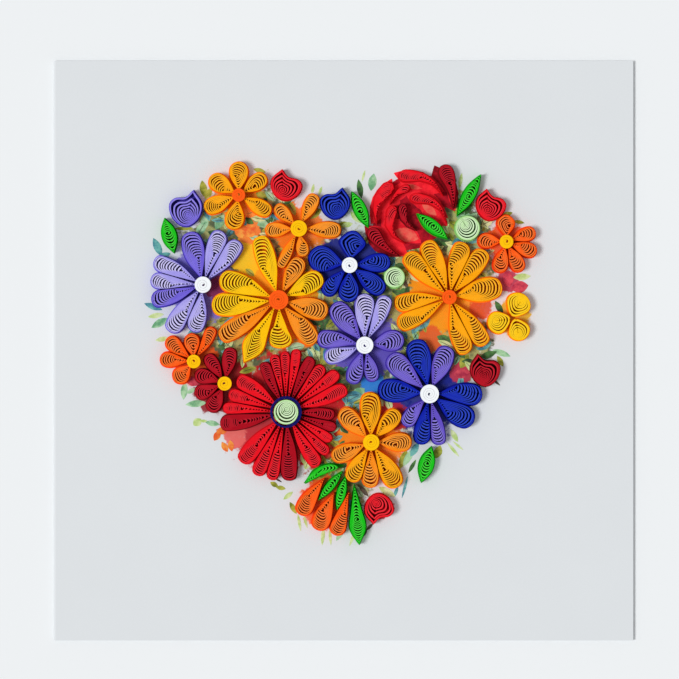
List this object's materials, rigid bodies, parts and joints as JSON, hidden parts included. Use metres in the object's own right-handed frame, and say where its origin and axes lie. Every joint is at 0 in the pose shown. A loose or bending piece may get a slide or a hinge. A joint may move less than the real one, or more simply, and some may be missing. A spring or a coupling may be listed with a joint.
{
  "type": "quilled paper heart card",
  "caption": "Square folded greeting card with a heart of quilled paper flowers, leaves and buds glued on its front, for keepsakes, gifts and wall or shelf decoration.",
  "frame": {"origin": "middle of the card's back panel, on the surface that it lies on", "axes": "+Z out of the front of the card, +Y towards its top edge, +X away from the fold"},
  "size_m": [0.15, 0.15, 0.0057],
  "materials": {
    "white_card": "smooth white card stock",
    "white_paper": "white quilling paper, matte",
    "amber_paper": "amber quilling paper, matte",
    "tangerine_paper": "orange quilling paper, matte",
    "yellow_paper": "yellow quilling paper, matte",
    "gold_paper": "golden yellow quilling paper, matte",
    "coral_paper": "red-orange quilling paper, matte",
    "lilac_paper": "light lilac quilling paper, matte",
    "purple_paper": "purple quilling paper, matte",
    "violet_paper": "violet quilling paper, matte",
    "blue_paper": "deep blue quilling paper, matte",
    "red_paper": "bright red quilling paper, matte",
    "maroon_paper": "dark red quilling paper, matte",
    "pale_green_paper": "pale green quilling paper, matte",
    "green_paper": "leaf green quilling paper, matte"
  },
  "bodies": {
    "root": {"amber_flower_centre": "coral_paper", "amber_flower_petals": "amber_paper", "blue_bud": "blue_paper", "blue_flower_centre": "white_paper", "blue_flower_petals": "blue_paper", "card": "white_card", "cherry_bud": "red_paper", "coral_flower_centre": "yellow_paper", "coral_flower_petals": "coral_paper", "crimson_bud": "red_paper", "ember_flower_centre": "yellow_paper", "ember_flower_petals": "coral_paper", "gold_flower_centre": "coral_paper", "gold_flower_petals": "gold_paper", "green_leaf_1": "green_paper", "green_leaf_2": "green_paper", "green_leaf_3": "green_paper", "green_leaf_4": "green_paper", "green_leaf_5": "green_paper", "indigo_flower_blue_petals": "blue_paper", "indigo_flower_centre": "white_paper", "indigo_flower_lilac_petals": "violet_paper", "lilac_flower_centre": "white_paper", "lilac_flower_dark_petals": "purple_paper", "lilac_flower_light_petals": "lilac_paper", "maroon_flower_centre": "yellow_paper", "maroon_flower_petals": "maroon_paper", "pale_coil_1": "pale_green_paper", "pale_coil_2": "pale_green_paper", "peach_flower_amber_petals": "amber_paper", "peach_flower_centre": "yellow_paper", "peach_flower_orange_petals": "tangerine_paper", "purple_bud": "purple_paper", "red_flower_bright_petals": "red_paper", "red_flower_centre": "pale_green_paper", "red_flower_dark_petals": "maroon_paper", "red_flower_ring": "blue_paper", "rose_bright_petals": "red_paper", "rose_dark_petals": "maroon_paper", "ruby_bud": "maroon_paper", "scarlet_bud": "red_paper", "sunny_flower_centre": "coral_paper", "sunny_flower_orange_petals": "tangerine_paper", "sunny_flower_yellow_petals": "yellow_paper", "tangerine_flower_centre": "yellow_paper", "tangerine_flower_petals": "tangerine_paper", "tulip_petal_1": "coral_paper", "tulip_petal_2": "coral_paper", "tulip_petal_3": "coral_paper", "tulip_sepal_1": "green_paper", "tulip_sepal_2": "green_paper", "tulip_sepal_3": "green_paper", "tulip_sepal_4": "green_paper", "violet_flower_centre": "white_paper", "violet_flower_deep_petals": "violet_paper", "violet_flower_pale_petals": "lilac_paper", "yellow_bud_1": "yellow_paper", "yellow_bud_2": "yellow_paper", "yellow_bud_3": "yellow_paper"}
  },
  "joints": []
}
